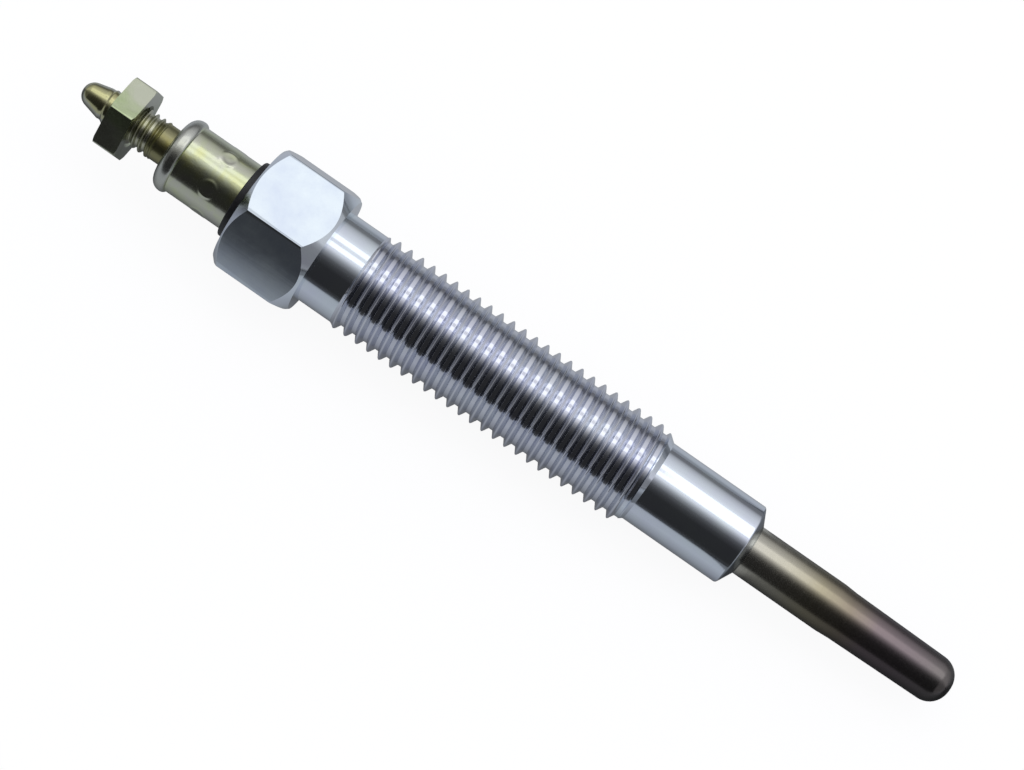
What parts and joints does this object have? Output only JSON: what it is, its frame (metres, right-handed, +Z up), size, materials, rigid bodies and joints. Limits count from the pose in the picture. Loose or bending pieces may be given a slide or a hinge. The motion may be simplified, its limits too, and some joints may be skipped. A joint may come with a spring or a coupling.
{
  "type": "diesel glow plug",
  "caption": "Diesel glow plug with a hexagon head, a long threaded body, a plain pilot with a sealing cone, a rod-shaped sheathed heater and a threaded terminal with its nut.",
  "frame": {"origin": "on the plug's axis, at the front end of the pilot's cylinder, where the sealing cone begins", "axes": "+X along the plug's axis from the terminal to the heater's tip; +Z up, square to the hexagon's lower flat; +Y to the far side"},
  "size_m": [0.0948, 0.0138, 0.012],
  "materials": {
    "clear_zinc_steel": "bright turned steel with clear bluish zinc plating",
    "heat_tinted_steel": "satin heat-resisting steel, tinted by annealing",
    "magnesia": "matt packed powder",
    "resistance_wire": "drawn wire",
    "yellow_zinc_steel": "bright turned steel with iridescent yellow zinc plating",
    "seal_rubber": "matt",
    "black_phenolic": "moulded, faint gloss"
  },
  "bodies": {
    "root": {"housing": "clear_zinc_steel", "sheath_tube": "heat_tinted_steel", "magnesia_fill": "magnesia", "heating_coil": "resistance_wire", "control_coil": "resistance_wire", "centre_rod": "yellow_zinc_steel", "sheath_seal": "seal_rubber", "o_ring": "seal_rubber", "insulating_bush": "black_phenolic", "round_nut": "yellow_zinc_steel", "terminal_nut": "yellow_zinc_steel"}
  },
  "joints": []
}
